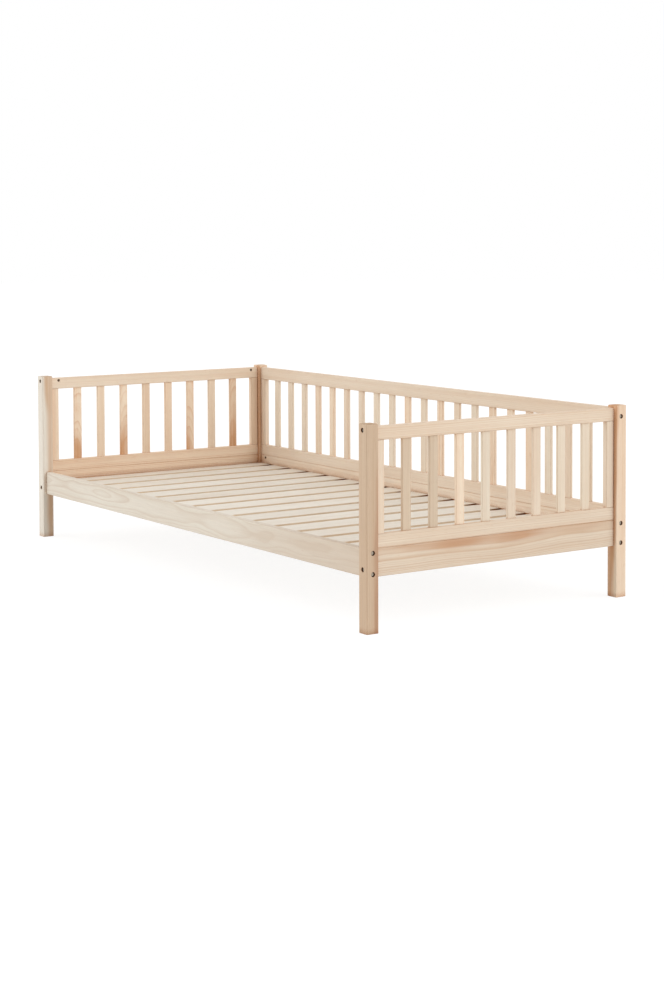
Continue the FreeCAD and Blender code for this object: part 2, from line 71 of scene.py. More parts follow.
def card(red, green, blue):
    """A paint-card colour from 0 to 255 as linear light, with full alpha."""
    linear = []
    for step in (red, green, blue):
        share = step / 255
        linear.append(share / 12.92 if share <= 0.04045 else ((share + 0.055) / 1.055) ** 2.4)
    return (*linear, 1.0)


scene = bpy.context.scene
scene.view_settings.view_transform = "Standard"
print("raw pine in linear light:", [round(c, 3) for c in card(232, 216, 192)])

# %% [markdown]
# ## Small helpers for wiring shader nodes
#
# A shader is a wiring job: a value goes into a socket, or another socket's output does. These helpers
# let either be handed over in the same way, so that the wood below reads like a recipe and not like
# a list of plugs.

# %% Numbers and vectors


def feed(tree, socket, value):
    """Link a socket's output into this socket, or set it where the value is a plain number."""
    if isinstance(value, bpy.types.NodeSocket):
        tree.links.new(value, socket)
    else:
        socket.default_value = value


def maths(tree, operation, *values, clamp=False):
    """One step of arithmetic on numbers."""
    node = tree.nodes.new("ShaderNodeMath")
    node.operation = operation
    node.use_clamp = clamp
    for socket, value in zip(node.inputs, values):
        feed(tree, socket, value)
    return node.outputs[0]


def vectors(tree, operation, first, second):
    """One step of arithmetic on two vectors."""
    node = tree.nodes.new("ShaderNodeVectorMath")
    node.operation = operation
    feed(tree, node.inputs[0], first)
    feed(tree, node.inputs[1], second)
    return node.outputs["Vector"]


def stretch(tree, place, amount):
    """The place times a number, which may be a socket."""
    node = tree.nodes.new("ShaderNodeVectorMath")
    node.operation = "SCALE"
    feed(tree, node.inputs[0], place)
    feed(tree, node.inputs["Scale"], amount)
    return node.outputs["Vector"]


def split(tree, place):
    """The three numbers of a vector."""
    node = tree.nodes.new("ShaderNodeSeparateXYZ")
    feed(tree, node.inputs[0], place)
    return node.outputs[0], node.outputs[1], node.outputs[2]


print("helpers for numbers and vectors ready")

# %% Noise, soft steps and mixes


def noise(tree, place, per_metre, detail=2.0, roughness=0.5):
    """Noise whose features are finer the larger the three numbers per metre are."""
    node = tree.nodes.new("ShaderNodeTexNoise")
    feed(tree, node.inputs["Vector"], vectors(tree, "MULTIPLY", place, per_metre))
    node.inputs["Scale"].default_value = 1.0
    node.inputs["Detail"].default_value = detail
    node.inputs["Roughness"].default_value = roughness
    return node.outputs[0], node.outputs[1]


def ease(tree, value, low, high, start=0.0, end=1.0):
    """A soft step: start below low, end above high, and a smooth curve between them."""
    node = tree.nodes.new("ShaderNodeMapRange")
    node.interpolation_type = "SMOOTHSTEP"
    for socket, number in zip(node.inputs, (value, low, high, start, end)):
        feed(tree, socket, number)
    return node.outputs[0]


def tint(tree, share, first, second, mode="MIX"):
    """Colour mix: the first colour where share is 0, the second where it is 1."""
    node = tree.nodes.new("ShaderNodeMix")
    node.data_type = "RGBA"
    node.blend_type = mode
    feed(tree, node.inputs[0], share)
    feed(tree, node.inputs[6], first)
    feed(tree, node.inputs[7], second)
    return node.outputs[2]


def darken(tree, share, colour, shade):
    """The colour multiplied by a shade, as far as the share goes."""
    return tint(tree, share, colour, shade, mode="MULTIPLY")


print("helpers for patterns ready")

# %% [markdown]
# ## Groups, materials and relief
#
# A node group is a recipe that is written once and used in many materials, each with values of its
# own. The group hands out colours, masks and heights only. The shader itself stays in the material,
# where anyone who opens the file looks for it, and so does the bump that turns a height into relief.

# %% Helpers for groups and materials
SURFACE_OUTPUTS = [("Color", "Color"), ("Roughness", "Float"), ("Height", "Float")]


def shader_group(name, inputs, outputs):
    """A named node group with the sockets listed as (label, kind, value)."""
    tree = bpy.data.node_groups.new(name, "ShaderNodeTree")
    for label, kind, value in inputs:
        socket = tree.interface.new_socket(label, in_out="INPUT", socket_type="NodeSocket" + kind)
        if value is not None:
            socket.default_value = value
    for label, kind in outputs:
        tree.interface.new_socket(label, in_out="OUTPUT", socket_type="NodeSocket" + kind)
    given = tree.nodes.new("NodeGroupInput").outputs
    made = tree.nodes.new("NodeGroupOutput").inputs
    return tree, given, made


def group_node(tree, group, **values):
    """The group placed in a tree; an underscore in a value's name stands for a space."""
    node = tree.nodes.new("ShaderNodeGroup")
    node.node_tree = group
    for label, value in values.items():
        feed(tree, node.inputs[label.replace("_", " ")], value)
    return node


def new_material(name):
    """A material with its tree and its shader."""
    material = bpy.data.materials.new(name)
    material.use_nodes = True
    tree = material.node_tree
    return material, tree, tree.nodes["Principled BSDF"]


def object_place(tree):
    """Where each point is, which never slides when the camera moves."""
    return tree.nodes.new("ShaderNodeTexCoord").outputs["Object"]


def add_relief(tree, shader, height, strength, depth):
    """Bump from a height that runs from 0 to 1, where 1 is the depth in metres."""
    bump = tree.nodes.new("ShaderNodeBump")
    bump.inputs["Strength"].default_value = strength
    bump.inputs["Distance"].default_value = depth
    feed(tree, bump.inputs["Height"], height)
    feed(tree, shader.inputs["Normal"], bump.outputs["Normal"])


print("a surface group hands out:", ", ".join(label for label, _ in SURFACE_OUTPUTS))

# %% [markdown]
# ## Solid pine
#
# A plank is a slice of a tree, and its figure is where growth rings meet the saw cut. An image could
# be laid on each face, but it would break at every edge and show no end grain. Here the tree itself
# is described: each point of the timber knows its distance from the pith, the middle of the stem, and
# that distance counts the years. A face cut through such rings shows long arches, an edge shows
# straight lines and an end shows arcs, all from one rule and with nothing to line up.
#
# The pith wanders and leans a little along the board, which bends the arches.

# %% What a stick may set, and its distance from the pith
PINE_INPUTS = [
    ("Vector", "Vector", None),
    ("Pith", "Vector", (0.0, 0.0, 0.08)),
    ("Lean", "Vector", (0.0, 0.0, 0.02)),
    ("Wander", "Float", 0.02),
    ("Bends", "Float", 1.0),
    ("Ring Width", "Float", 0.004),
    ("Seed", "Float", 0.0),
    ("Figure", "Float", 0.5),
    ("Streaks", "Float", 0.5),
    ("Fade", "Float", 0.0),
    ("Heart Radius", "Float", 0.0),
    ("Spring Wood", "Color", card(236, 222, 200)),
    ("Summer Wood", "Color", card(205, 165, 122)),
    ("Heartwood", "Color", card(206, 160, 122)),
]
BENDS_PER_METRE = (1.0, 4.0, 4.0)
MIDDLE_GREY = (0.5, 0.5, 0.5)
ACROSS_ONLY = (0.0, 1.0, 1.0)


def pith_distance(tree, given, place):
    """How far each point lies from the leaning, wandering pith."""
    along, _, _ = split(tree, given["Vector"])
    run, side, deep = split(tree, place)
    course = tree.nodes.new("ShaderNodeCombineXYZ")
    feed(tree, course.inputs[0], maths(tree, "MULTIPLY", run, given["Bends"]))
    feed(tree, course.inputs[1], side)
    feed(tree, course.inputs[2], deep)
    _, bend = noise(tree, course.outputs[0], BENDS_PER_METRE, detail=1.5)
    bend = stretch(tree, vectors(tree, "SUBTRACT", bend, MIDDLE_GREY), given["Wander"])
    stem = vectors(tree, "SUBTRACT", given["Vector"], given["Pith"])
    stem = vectors(tree, "SUBTRACT", stem, stretch(tree, given["Lean"], along))
    stem = vectors(tree, "ADD", stem, bend)
    length = tree.nodes.new("ShaderNodeVectorMath")
    length.operation = "LENGTH"
    feed(tree, length.inputs[0], vectors(tree, "MULTIPLY", stem, ACROSS_ONLY))
    return length.outputs["Value"]


print("a stick may set", len(PINE_INPUTS) - 1, "things beside its place")

# %% [markdown]
# ## Years
#
# A year starts with pale spring wood, darkens into a thin summer line and ends sharply, which a
# colour ramp draws well. Real years are uneven: some are wide, some narrow, some hardly marked. One
# noise along the count of years squeezes and spreads them, and another sets how dark each line is.

# %% The summer lines
RIPPLES = (7.0, 34.0, 34.0)
RIPPLE_YEARS = 0.55
LUCK_EVERY = 0.31
LUCK_YEARS = 1.7
TURN_OF_THE_YEAR = 0.30
SUMMER_COMES = ((0.10, 0.03), (0.50, 0.10), (0.80, 0.62), (0.93, 1.0))
FAINTEST_YEAR = 0.35


def summer_line(tree, season):
    """The darkness of one year, from spring to the sharp end of summer."""
    ramp = tree.nodes.new("ShaderNodeValToRGB")
    feed(tree, ramp.inputs[0], season)
    stops = ramp.color_ramp.elements
    for stop in stops:
        stop.color = (TURN_OF_THE_YEAR, TURN_OF_THE_YEAR, TURN_OF_THE_YEAR, 1)
    for position, dark in SUMMER_COMES:
        stop = stops.new(position)
        stop.color = (dark, dark, dark, 1)
    return ramp.outputs[0]


def summer_wood(tree, given, place, radius):
    """How much of a point is summer wood, from its distance to the pith."""
    ripple, _ = noise(tree, place, RIPPLES, detail=2.0)
    years = maths(tree, "DIVIDE", radius, given["Ring Width"])
    years = maths(tree, "ADD", years, maths(tree, "MULTIPLY", ripple, RIPPLE_YEARS))
    luck = tree.nodes.new("ShaderNodeTexNoise")
    luck.noise_dimensions = "1D"
    luck.inputs["Scale"].default_value = 1.0
    luck.inputs["Detail"].default_value = 1.0
    feed(tree, luck.inputs["W"], maths(tree, "MULTIPLY_ADD", years, LUCK_EVERY, given["Seed"]))
    years = maths(tree, "MULTIPLY_ADD", luck.outputs[0], LUCK_YEARS, years)
    good_year = tree.nodes.new("ShaderNodeTexWhiteNoise")
    good_year.noise_dimensions = "1D"
    feed(tree, good_year.inputs["W"], maths(tree, "FLOOR", years))
    mark = ease(tree, good_year.outputs[0], 0.0, 1.0, FAINTEST_YEAR, 1.0)
    return maths(tree, "MULTIPLY", summer_line(tree, maths(tree, "FRACT", years)), mark)


print("a year has", len(SUMMER_COMES), "stops between spring and winter")

# %% [markdown]
# ## Streaks, fibres and heartwood
#
# On top of the rings lie slow streaks along the grain, fine fibres, short resin ducts, and the warmer
# heartwood near the pith, with a ragged edge. Every one is noise stretched along the stick: few
# changes per metre lengthwise, many across. Fade is painted shade that darkens a long board towards
# one end. Summer lines are a little smoother than spring wood, and stand a little proud.

# %% The solid pine group
STRANDS = (1.3, 75.0, 75.0)
CLOUDS = (1.8, 6.5, 6.5)
FIBRES = (14.0, 900.0, 900.0)
DUCTS = (42.0, 650.0, 650.0)
SEED_STEP = (3.7, 11.3, 7.9)
STRAND_SHARE = 0.30
CLOUD_SHARE = 0.34
DUCT_SHARE = 0.30
HEART_RAGGED = 16 * MM
FIBRE_DARK = 0.955
FIBRE_LIGHT = 1.03
SPRING_ROUGH = 0.62
SUMMER_SMOOTHER = -0.10
FIBRE_ROUGHER = 0.10
FIBRE_RELIEF = 0.45
SUMMER_RELIEF = 0.35
DUCT_PIT = -0.5


def make_solid_pine():
    tree, given, made = shader_group("solid pine", PINE_INPUTS, SURFACE_OUTPUTS)
    along, _, _ = split(tree, given["Vector"])
    place = vectors(tree, "ADD", given["Vector"], stretch(tree, SEED_STEP, given["Seed"]))
    radius = pith_distance(tree, given, place)
    summer = summer_wood(tree, given, place, radius)
    strand, _ = noise(tree, place, STRANDS, detail=2.5)
    strand = ease(tree, strand, 0.30, 0.72)
    cloud, _ = noise(tree, place, CLOUDS, detail=2.0)
    cloud = ease(tree, cloud, 0.32, 0.70)
    fibre, _ = noise(tree, place, FIBRES, detail=2.0)
    duct, _ = noise(tree, place, DUCTS, detail=0.0)
    duct = ease(tree, duct, 0.70, 0.80)

    rings = maths(tree, "MULTIPLY", summer, given["Figure"])
    colour = tint(tree, rings, given["Spring Wood"], given["Summer Wood"])
    slow = maths(tree, "MULTIPLY", cloud, CLOUD_SHARE)
    slow = maths(tree, "MULTIPLY_ADD", strand, STRAND_SHARE, slow)
    slow = maths(tree, "MULTIPLY", slow, given["Streaks"])
    colour = tint(tree, slow, colour, given["Summer Wood"])
    # Fade: painted shade, darker towards one end of the stick.
    fade = maths(tree, "MULTIPLY", along, given["Fade"], clamp=True)
    colour = tint(tree, fade, colour, given["Summer Wood"])
    heart_edge = maths(tree, "MULTIPLY_ADD", cloud, HEART_RAGGED, given["Heart Radius"])
    heart = ease(tree, maths(tree, "SUBTRACT", heart_edge, radius), -2 * MM, 9 * MM)
    heart = maths(tree, "MULTIPLY", heart, ease(tree, strand, 0.0, 1.0, 0.60, 0.95))
    colour = tint(tree, heart, colour, given["Heartwood"])
    colour = stretch(tree, colour, ease(tree, fibre, 0.25, 0.75, FIBRE_DARK, FIBRE_LIGHT))
    colour = tint(tree, maths(tree, "MULTIPLY", duct, DUCT_SHARE), colour, given["Summer Wood"])
    feed(tree, made["Color"], colour)

    rough = maths(tree, "MULTIPLY_ADD", summer, SUMMER_SMOOTHER, SPRING_ROUGH)
    feed(tree, made["Roughness"], maths(tree, "MULTIPLY_ADD", fibre, FIBRE_ROUGHER, rough))
    relief = maths(tree, "MULTIPLY", summer, SUMMER_RELIEF)
    relief = maths(tree, "MULTIPLY_ADD", fibre, FIBRE_RELIEF, relief)
    feed(tree, made["Height"], maths(tree, "MULTIPLY_ADD", duct, DUCT_PIT, relief))
    return tree


solid_pine = make_solid_pine()
print("solid pine:", len(solid_pine.nodes), "nodes")

# %% [markdown]
# ## Eased edges, end grain and bores
#
# Every stick of this bed is a box at heart, so where a point lies on it can be told from its
# distances to the three pairs of faces. The smallest is nearly nothing on an outer face, and grows
# inside a bolt hole. The middle one is small only near an edge. The lengthwise one is nothing on the
# sawn ends. The masks come from these distances alone: edges darkened partly by burnish from
# handling and partly by painted shade, the thirstier and darker end grain, painted shade on the raw
# walls of the bores, and, for the slats, painted shade on their narrow sawn sides, deeper in the last
# centimetres next to their ends.

# %% The edges and ends group
EDGE_INPUTS = [("Vector", "Vector", None), ("Half Size", "Vector", (1.0, 1.0, 1.0))]
EDGE_OUTPUTS = [
    ("Arris", "Float"), ("End Grain", "Float"), ("Bore", "Float"),
    ("Sawn Side", "Float"), ("Near End", "Float"),
]
WEAR_PATCHES = (60.0, 260.0, 260.0)
ON_THE_FACE = 0.15 * MM
ARRIS_CORE = 0.4 * MM
ARRIS_REACH = 2.6 * MM
BORE_MOUTH = 1.6 * MM
BORE_DEEP = 4 * MM
GAP_END_FULL = 12 * MM
GAP_END_OVER = 62 * MM


def make_edges_and_ends():
    tree, given, made = shader_group("edges and ends", EDGE_INPUTS, EDGE_OUTPUTS)
    node = tree.nodes.new("ShaderNodeVectorMath")
    node.operation = "ABSOLUTE"
    feed(tree, node.inputs[0], given["Vector"])
    from_faces = vectors(tree, "SUBTRACT", given["Half Size"], node.outputs["Vector"])
    end, side, top = split(tree, from_faces)
    least = maths(tree, "MINIMUM", maths(tree, "MINIMUM", end, side), top)
    most = maths(tree, "MAXIMUM", maths(tree, "MAXIMUM", end, side), top)
    total = maths(tree, "ADD", maths(tree, "ADD", end, side), top)
    middle = maths(tree, "SUBTRACT", maths(tree, "SUBTRACT", total, most), least)
    worn, _ = noise(tree, given["Vector"], WEAR_PATCHES, detail=2.0)
    worn = ease(tree, worn, 0.3, 0.7, 0.4, 1.0)
    near_edge = ease(tree, middle, ARRIS_CORE, ARRIS_REACH, 1.0, 0.0)
    feed(tree, made["Arris"], maths(tree, "MULTIPLY", near_edge, worn))
    feed(tree, made["End Grain"], ease(tree, end, ON_THE_FACE, 0.6 * MM, 1.0, 0.0))
    feed(tree, made["Bore"], ease(tree, least, BORE_MOUTH, BORE_DEEP))
    feed(tree, made["Sawn Side"], ease(tree, side, ON_THE_FACE, 0.8 * MM, 1.0, 0.0))
    feed(tree, made["Near End"], ease(tree, end, GAP_END_FULL, GAP_END_OVER, 1.0, 0.0))
    return tree


edges_and_ends = make_edges_and_ends()
print("edges and ends:", len(edges_and_ends.nodes), "nodes")

# %% [markdown]
# ## Warm corners
#
# Between two pale boards the light bounces from wood to wood and takes up more of its colour each
# time, so corners look warm, and the deepest ones brown. A path tracer finds some of this by itself,
# but soft studio light washes it out. An Ambient Occlusion node tells how much of its surroundings a
# point can see within a few centimetres. Two soft steps turn the answer into a wide, warm tint and a
# narrow, darker one. Being a group, it is built once and every stick of wood shares it.

# %% The warm corners group
CORNER_INPUTS = [
    ("Color", "Color", None),
    ("Reach", "Float", 42 * MM),
    ("Nook Shade", "Color", card(252, 206, 156)),
    ("Deep Shade", "Color", card(138, 94, 60)),
]
NOOK_CLOSED = 0.26
NOOK_OPEN = 0.72
DEEP_CLOSED = 0.10
DEEP_OPEN = 0.56


def make_warm_corners():
    tree, given, made = shader_group("warm corners", CORNER_INPUTS, [("Color", "Color")])
    open_share = tree.nodes.new("ShaderNodeAmbientOcclusion")
    open_share.samples = 4
    feed(tree, open_share.inputs["Distance"], given["Reach"])
    nook = ease(tree, open_share.outputs["AO"], NOOK_CLOSED, NOOK_OPEN, 1.0, 0.0)
    deep = ease(tree, open_share.outputs["AO"], DEEP_CLOSED, DEEP_OPEN, 1.0, 0.0)
    colour = darken(tree, nook, given["Color"], given["Nook Shade"])
    feed(tree, made["Color"], darken(tree, deep, colour, given["Deep Shade"]))
    return tree


warm_corners = make_warm_corners()
print("warm corners:", len(warm_corners.nodes), "nodes")

# %% [markdown]
# ## The dark strip behind the slats
#
# The two long boards can be seen between the slats' ends, in gaps too narrow for much light. Only
# their inner faces, and only as high as the slats, should darken. This mask asks for both from a
# point's place: how high it is, and how far from the middle of the bed.

# %% The behind the slats group
BEHIND_INPUTS = [
    ("Vector", "Vector", None),
    ("Inner Face", "Float", 0.45),
    ("Slat Top", "Float", 0.2),
]


def make_behind_the_slats():
    tree, given, made = shader_group("behind the slats", BEHIND_INPUTS, [("Mask", "Float")])
    _, across, up = split(tree, given["Vector"])
    rise = maths(tree, "SUBTRACT", up, given["Slat Top"])
    low_down = ease(tree, rise, -0.8 * MM, 0.4 * MM, 1.0, 0.0)
    into_board = maths(tree, "SUBTRACT", maths(tree, "ABSOLUTE", across), given["Inner Face"])
    inner = ease(tree, into_board, 0.5 * MM, 1.5 * MM, 1.0, 0.0)
    feed(tree, made["Mask"], maths(tree, "MULTIPLY", low_down, inner))
    return tree


behind_the_slats = make_behind_the_slats()
board_low, board_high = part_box("back_board")
INNER_FACE = min(abs(board_low[1]), abs(board_high[1]))
SLAT_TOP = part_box("slat_01")[1][2]
print("inner faces of the boards at", round(INNER_FACE, 4), "slat tops at", round(SLAT_TOP, 4))

# %% [markdown]
# ## Laying the pattern on a stick
#
# No two sticks on a bed come from the same spot of the same tree, so each gets its own material:
# the same groups, with its own pith, lean, ring width and shade. A Mapping node in its texture mode
# moves the pattern to the middle of the stick and turns it so that the fibres run along it.

# %% The stick's own directions
TURNS = {"x": (0.0, 0.0, 0.0), "y": (0.0, 0.0, math.pi / 2), "z": (0.0, -math.pi / 2, 0.0)}


def along_axis(low, high):
    """The name of the axis that a stick lies along: its longest side."""
    sides = {axis: high[i] - low[i] for i, axis in enumerate("xyz")}
    return max(sides, key=sides.get)


def half_size(low, high, along):
    """Half the stick's length, width and depth, in the turned order that the mapping gives."""
    x, y, z = ((high[i] - low[i]) / 2 for i in range(3))
    return {"x": (x, y, z), "y": (y, x, z), "z": (z, y, x)}[along]


def lay_along(tree, place, low, high, along):
    """The place as seen from the middle of the stick, with the first number along its fibres."""
    mapping = tree.nodes.new("ShaderNodeMapping")
    mapping.vector_type = "TEXTURE"
    mapping.inputs["Location"].default_value = [(a + b) / 2 for a, b in zip(low, high)]
    mapping.inputs["Rotation"].default_value = TURNS[along]
    feed(tree, mapping.inputs["Vector"], place)
    return mapping.outputs["Vector"]


print("the front board lies along", along_axis(*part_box("front_board")))

# %% [markdown]
# ## One pine material for each stick
#
# Every mask from the groups multiplies the wood's colour by a shade of its own, because end grain,
# burnish and painted shade only take light away. Painted shade darkens the corners, the bores, part
# of the edges, the long boards behind the slats and the slats' sides. The slats get paler painted
# corners than the rest, since light falls through the gaps between them, and the painted shade on
# their sawn sides turns dark only towards their ends.

# %% The pine material
# Edges: burnish from handling and painted shade on the rounded edges, in one colour.
BURNISH_AND_EDGE_SHADE = card(196, 160, 122)
BURNISH_AND_EDGE_SHADE_SHARE = 0.28
END_SHADE = card(200, 168, 130)
END_SHARE = 0.45
# Raw wood in the bores, under painted shade that deepens into them.
BORE_SHADE = card(96, 66, 42)
# Painted shade on the long boards' inner faces behind the slats.
HIDDEN_SHADE = card(176, 128, 88)
# Painted shade on the slats' sawn sides, which face the next slat across a narrow gap.
SIDE_SHADE = card(246, 232, 214)
# Deeper painted shade on those sides next to the slats' ends.
GAP_END_SHADE = card(150, 108, 72)
# Paler painted corner shade for the slats, since light falls through the gaps between them.
SLAT_CORNERS = dict(Nook_Shade=card(253, 234, 212), Deep_Shade=card(200, 172, 144))
ROUGHER_END = 0.18
SMOOTHER_ARRIS = -0.12
GRAIN_BUMP = 0.25
GRAIN_DEPTH = 0.3 * MM
PINE_SHINE = 0.32


def ends_edges_and_bores(tree, colour, form):
    """The wood's colour after sawing, boring and handling, with painted shade on its edges and in its
    bores.
    """
    end_share = maths(tree, "MULTIPLY", form.outputs["End Grain"], END_SHARE)
    colour = darken(tree, end_share, colour, END_SHADE)
    # Edges: burnish from handling and painted shade together.
    arris_share = maths(tree, "MULTIPLY", form.outputs["Arris"], BURNISH_AND_EDGE_SHADE_SHARE)
    colour = darken(tree, arris_share, colour, BURNISH_AND_EDGE_SHADE)
    # Painted shade that deepens into the bores.
    return darken(tree, form.outputs["Bore"], colour, BORE_SHADE)


def slat_sides(tree, colour, form):
    """A slat's colour with painted shade on its sawn sides, deeper next to its ends."""
    sawn = form.outputs["Sawn Side"]
    colour = darken(tree, sawn, colour, SIDE_SHADE)
    gap_end = maths(tree, "MULTIPLY", sawn, form.outputs["Near End"])
    return darken(tree, gap_end, colour, GAP_END_SHADE)


def pine_material(name, low, high, along, wood):
    """Pine for one stick, from its box and its timber."""
    material, tree, shader = new_material(name)
    where = object_place(tree)
    place = lay_along(tree, where, low, high, along)
    grain = group_node(tree, solid_pine, Vector=place, **wood)
    form = group_node(tree, edges_and_ends, Vector=place, Half_Size=half_size(low, high, along))
    is_slat = name.startswith("slat")
    colour = ends_edges_and_bores(tree, grain.outputs["Color"], form)
    # Painted shade in the corners, paler on the slats.
    corners = SLAT_CORNERS if is_slat else {}
    colour = group_node(tree, warm_corners, Color=colour, **corners).outputs["Color"]
    if is_slat:
        colour = slat_sides(tree, colour, form)
    # Painted shade on the long boards' inner faces, as high as the slats.
    if along == "x" and "board" in name:
        hidden = group_node(
            tree, behind_the_slats, Vector=where, Inner_Face=INNER_FACE, Slat_Top=SLAT_TOP,
        )
        colour = darken(tree, hidden.outputs["Mask"], colour, HIDDEN_SHADE)
    feed(tree, shader.inputs["Base Color"], colour)
    rough = grain.outputs["Roughness"]
    rough = maths(tree, "MULTIPLY_ADD", form.outputs["End Grain"], ROUGHER_END, rough)
    rough = maths(tree, "MULTIPLY_ADD", form.outputs["Arris"], SMOOTHER_ARRIS, rough)
    feed(tree, shader.inputs["Roughness"], rough)
    add_relief(tree, shader, grain.outputs["Height"], GRAIN_BUMP, GRAIN_DEPTH)
    shader.inputs["Specular IOR Level"].default_value = PINE_SHINE
    return material


print("slat sides in linear light:", [round(c, 3) for c in SIDE_SHADE])

# %% [markdown]
# ## Choosing the timber
#
# A maker lays the boards out before marking them: the palest and calmest for the slats and the front,
# warmer ones for the two ends. Each shade is three colours, for spring wood, summer wood and
# heartwood. A random draw with a fixed seed varies them a little, so that no two sticks are the same
# and the bed comes out the same each time.

# %% Shades
draw = random.Random(1907)
SHADES = {
    "milk": dict(Spring_Wood=card(240, 234, 223), Summer_Wood=card(214, 194, 171),
                 Heartwood=card(212, 178, 146)),
    "oat": dict(Spring_Wood=card(234, 228, 216), Summer_Wood=card(202, 180, 158),
                Heartwood=card(208, 188, 166)),
    "cream": dict(Spring_Wood=card(240, 228, 210), Summer_Wood=card(214, 184, 152),
                  Heartwood=card(212, 170, 136)),
    "shell": dict(Spring_Wood=card(240, 225, 206), Summer_Wood=card(212, 174, 138),
                  Heartwood=card(206, 158, 122)),
    "peach": dict(Spring_Wood=card(246, 229, 207), Summer_Wood=card(210, 154, 106),
                  Heartwood=card(206, 152, 108)),
    "sand": dict(Spring_Wood=card(222, 203, 180), Summer_Wood=card(190, 156, 124),
                 Heartwood=card(184, 142, 112)),
    "clay": dict(Spring_Wood=card(214, 190, 164), Summer_Wood=card(184, 146, 114),
                 Heartwood=card(178, 130, 100)),
}


def vary(value, share):
    """The value, more or less by up to its share."""
    return value * (1 + draw.uniform(-share, share))


print("shades:", ", ".join(SHADES))

# %% [markdown]
# ## Cuts
#
# The cut says how the saw went through the log. A flat-sawn board has its pith behind the wide face
# and shows arches. A rift-sawn one has it off to the side and shows straight lines. All lengths are
# in metres, measured from the middle of the stick; a lean is metres sideways for each metre along.

# %% Flat-sawn and rift-sawn timber
FLAT_SIDESTEP = 12 * MM
FLAT_SIDE_LEAN = 0.004
RIFT_ACROSS = 110 * MM
RIFT_DEPTH = 30 * MM
RIFT_LEAN = 0.003
RIFT_WANDER = 14 * MM


def flat_sawn(depth=55 * MM, lean=0.012, wander=35 * MM, bends=1.0):
    """The pith lies behind the wide face, so that face shows arches."""
    side = draw.choice((-1, 1))
    return dict(
        Pith=(0.0, draw.uniform(-FLAT_SIDESTEP, FLAT_SIDESTEP), side * vary(depth, 0.25)),
        Lean=(0.0, draw.uniform(-FLAT_SIDE_LEAN, FLAT_SIDE_LEAN), side * vary(lean, 0.3)),
        Wander=wander,
        Bends=bends,
    )


def rift_sawn():
    """The pith lies off to the side, so the wide face shows long straight lines."""
    side = draw.choice((-1, 1))
    return dict(
        Pith=(0.0, side * vary(RIFT_ACROSS, 0.2), draw.uniform(-RIFT_DEPTH, RIFT_DEPTH)),
        Lean=(0.0, draw.uniform(-RIFT_LEAN, RIFT_LEAN), draw.uniform(-RIFT_LEAN, RIFT_LEAN)),
        Wander=RIFT_WANDER,
    )


def swap_faces(cut):
    """The same cut for a stick whose wide face is the other pair."""
    turned_cut = dict(cut)
    for label in ("Pith", "Lean"):
        x, y, z = cut[label]
        turned_cut[label] = (x, z, y)
    return turned_cut


def timber(shade, cut, ring=4.2 * MM, figure=0.5, streaks=0.6, heart=0.0, spread=0.03):
    """All that one stick needs; spread is how far its shade may stray from its kind's."""
    tone = 1 - draw.uniform(0.0, 2 * spread)
    colours = {
        label: (*(part * tone for part in colour[:3]), 1.0)
        for label, colour in SHADES[shade].items()
    }
    return dict(
        **colours,
        **cut,
        Ring_Width=vary(ring, 0.2),
        Seed=draw.uniform(0.0, 40.0),
        Figure=figure,
        Streaks=streaks,
        Heart_Radius=heart,
    )


print("rift-sawn sticks have their pith about", RIFT_ACROSS, "m to the side")

# %% [markdown]
# ## The posts
#
# The frame's nodes keep their shapes and get a material slot each. The four posts are what the eye
# meets first, so the pith's place behind each is given one by one: it decides which of the two faces
# that can be seen shows a strip of heartwood.

# %% Dress the posts
POST_SHADES = {
    "head_front_post": "milk", "head_back_post": "peach",
    "foot_front_post": "clay", "foot_back_post": "peach",
}
# On the foot's back post the heartwood lies on the narrow front face in the corner by the foot guard:
# partly the wood's own warmth, partly painted shade for that corner.
HEART_BEHIND = {
    "head_front_post": (0.0, 0.010, -0.051), "head_back_post": (0.0, -0.060, -0.020),
    "foot_front_post": (0.0, 0.045, -0.045), "foot_back_post": (0.0, -0.050, 0.012),
}
POST_HEART = 37 * MM


def dress(name, wood):
    """Give a node of the frame its own pine."""
    node = nodes[name]
    low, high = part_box(name)
    material = pine_material(name.replace("_", " ") + " pine", low, high, along_axis(low, high), wood)
    node.data.materials.clear()
    node.data.materials.append(material)


for name, shade in POST_SHADES.items():
    cut = rift_sawn()
    cut["Pith"] = HEART_BEHIND[name]
    dress(name, timber(shade, cut, ring=3.4 * MM, figure=0.45, heart=POST_HEART))
print("posts dressed:", len(POST_SHADES))

# %% [markdown]
# ## The two ends
#
# The head end is the warmest part of the bed: its spindles were ripped near the heart of the stem, and
# in some of them the brown heartwood runs in from below like a flame. Moving the pith close to the
# stick and leaning it makes the heartwood's edge cross the stick part of the way up. The two boards
# under the guards were sawn near the heart as well. Their pith lies just behind the wide face and
# leans into it, so a tongue of heartwood lies along the board with arches round it. Boards and rails
# stand on edge, so their cut is turned to the other pair of faces.

# %% Dress the spindles of the two ends
SPINDLES = range(1, 9)
GREYER_SPINDLES = (1, 2)
HEARTY_SPINDLES = {1: -0.04, 3: 0.06, 6: -0.17, 8: -0.17}
HEART_LEAN = 0.085
HEART_SIDE_LEAN = 0.02


def heart_below(reach):
    """A cut and a radius of heartwood that fills an upright up to reach metres above its middle."""
    cut = flat_sawn(depth=60 * MM, lean=0.0)
    depth = cut["Pith"][2]
    cut["Lean"] = (0.0, HEART_SIDE_LEAN, math.copysign(HEART_LEAN, depth))
    return cut, abs(depth) + HEART_LEAN * reach


